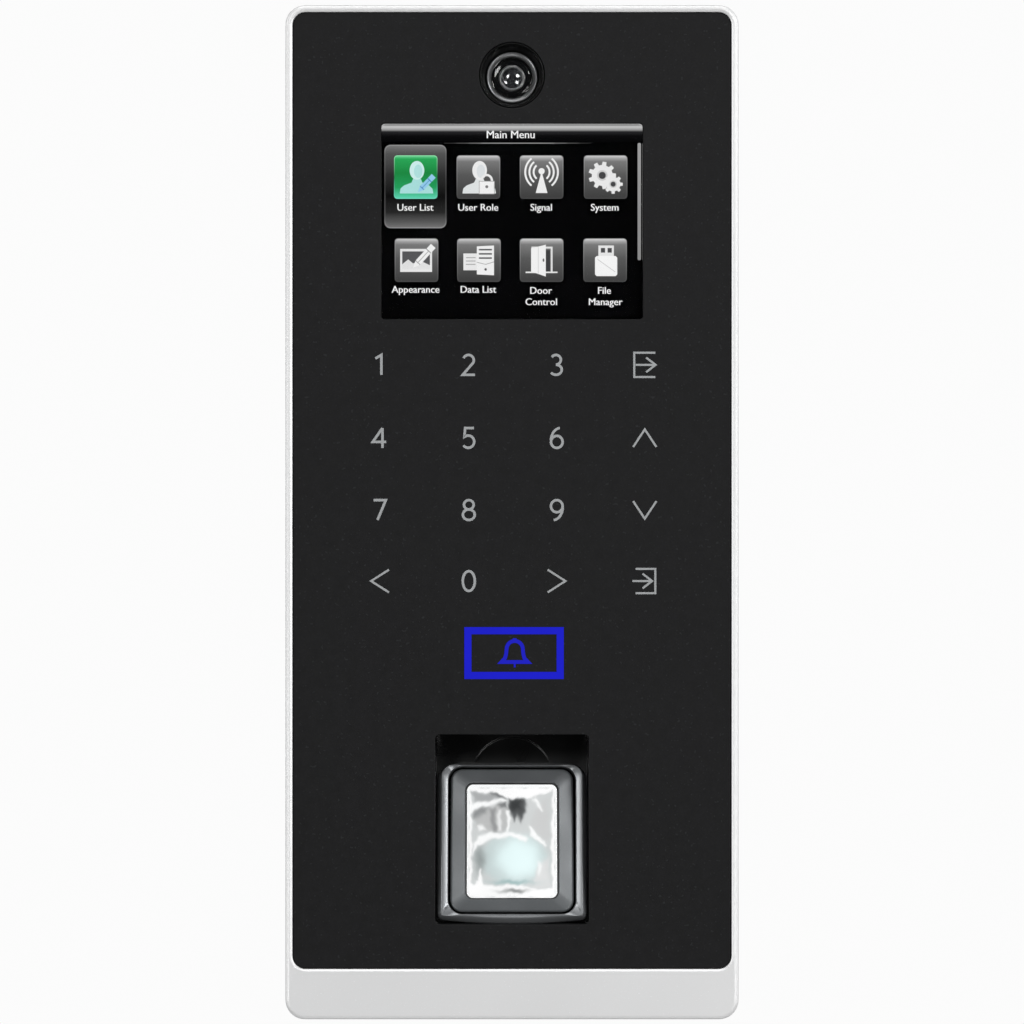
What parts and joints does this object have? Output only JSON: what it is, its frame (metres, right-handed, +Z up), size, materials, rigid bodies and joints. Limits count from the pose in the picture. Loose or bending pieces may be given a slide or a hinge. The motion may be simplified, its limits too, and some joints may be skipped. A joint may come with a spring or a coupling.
{
  "type": "fingerprint access terminal",
  "caption": "Slim wall-mounted access terminal with a camera, colour display, touch keypad, lit bell key and a tilted fingerprint sensor, on a lockable steel wall plate.",
  "frame": {"origin": "centre of the wall plate's back face, on the wall surface", "axes": "+Z up along the long side, +Y into the wall, +X to the right as seen from the front; the terminal faces -Y"},
  "size_m": [0.084, 0.04, 0.188],
  "materials": {
    "silver_plastic": "satin silver-grey painted ABS",
    "panel_black": "black with a fine grain",
    "case_black": "black ABS, lightly textured",
    "gloss_black": "gloss black",
    "sensor_grey": "satin dark grey",
    "bezel_grey": "semi-gloss charcoal",
    "optic_glass": "clear, polished",
    "display_glass": "dark display glass",
    "blue_light": "translucent blue diffuser",
    "zinc_steel": "zinc-plated steel",
    "brass": "knurled brass",
    "copper_wire": null,
    "circuit_board": "green solder resist",
    "connector_white": "natural nylon",
    "rubber": "soft black",
    "flex_amber": "amber polyimide film"
  },
  "bodies": {
    "wall_plate": {"wall_plate": "zinc_steel"},
    "terminal": {"rear_cover": "case_black", "screw_insert": "brass", "front_housing": "silver_plastic", "case_seal": "rubber", "front_panel": "panel_black", "case_screw_1": "zinc_steel", "case_screw_2": "zinc_steel", "case_screw_3": "zinc_steel", "case_screw_4": "zinc_steel", "lcd_window": "optic_glass", "lcd_panel": "display_glass", "lcd_backlight_tray": "zinc_steel", "camera_ring": "gloss_black", "camera_barrel": "bezel_grey", "camera_window": "optic_glass", "camera_lens": "optic_glass", "camera_board": "circuit_board", "keypad_board": "circuit_board", "bell_light_guide": "blue_light", "bell_led_left": "connector_white", "bell_led_right": "connector_white", "card_antenna_coil": "copper_wire", "sensor_bezel": "bezel_grey", "sensor_seal": "rubber", "sensor_housing": "sensor_grey", "sensor_prism": "optic_glass", "sensor_light_board": "circuit_board", "sensor_imager": "case_black", "sensor_board": "circuit_board", "sensor_screw_left": "zinc_steel", "sensor_screw_right": "zinc_steel", "sensor_surround": "gloss_black", "main_board": "circuit_board", "board_screw_1": "zinc_steel", "board_screw_2": "zinc_steel", "board_screw_3": "zinc_steel", "board_screw_4": "zinc_steel", "processor_shield": "zinc_steel", "door_relay": "case_black", "coin_cell_holder": "connector_white", "coin_cell": "zinc_steel", "header_power": "connector_white", "header_lock": "connector_white", "header_reader": "connector_white", "header_network": "connector_white", "io_board": "circuit_board", "usb_socket": "zinc_steel", "reset_switch": "case_black", "tamper_switch": "case_black", "tamper_spring": "zinc_steel", "speaker": "case_black", "lcd_ribbon": "flex_amber", "camera_ribbon": "flex_amber", "keypad_ribbon": "flex_amber", "sensor_ribbon": "flex_amber"},
    "security_screw": {"security_screw": "zinc_steel"},
    "tamper_plunger": {"tamper_plunger": "connector_white"},
    "reset_button": {"reset_button": "connector_white"},
    "usb_cover": {"usb_cover": "rubber"}
  },
  "joints": [
    {"name": "terminal_lift", "type": "slide", "parent": "wall_plate", "child": "terminal", "axis": [0, 0, 1], "range_m": [0, 0.006]},
    {"name": "security_screw_out", "type": "slide", "parent": "wall_plate", "child": "security_screw", "axis": [0, 0, -1], "range_m": [0, 0.006]},
    {"name": "tamper_plunger_out", "type": "slide", "parent": "terminal", "child": "tamper_plunger", "axis": [0, 1, 0], "range_m": [0, 0.002], "stiffness_N_per_m": 150, "springref_m": 0.003, "deforming": ["tamper_spring"]},
    {"name": "reset_press", "type": "slide", "parent": "terminal", "child": "reset_button", "axis": [0, 0, 1], "range_m": [0, 0.0008], "stiffness_N_per_m": 300, "springref_m": -0.0002},
    {"name": "usb_cover_swing", "type": "hinge", "parent": "terminal", "child": "usb_cover", "pos_m": [0.023, -0.0054, -0.0934], "axis": [1, 0, 0], "range_deg": [0, 100]}
  ]
}
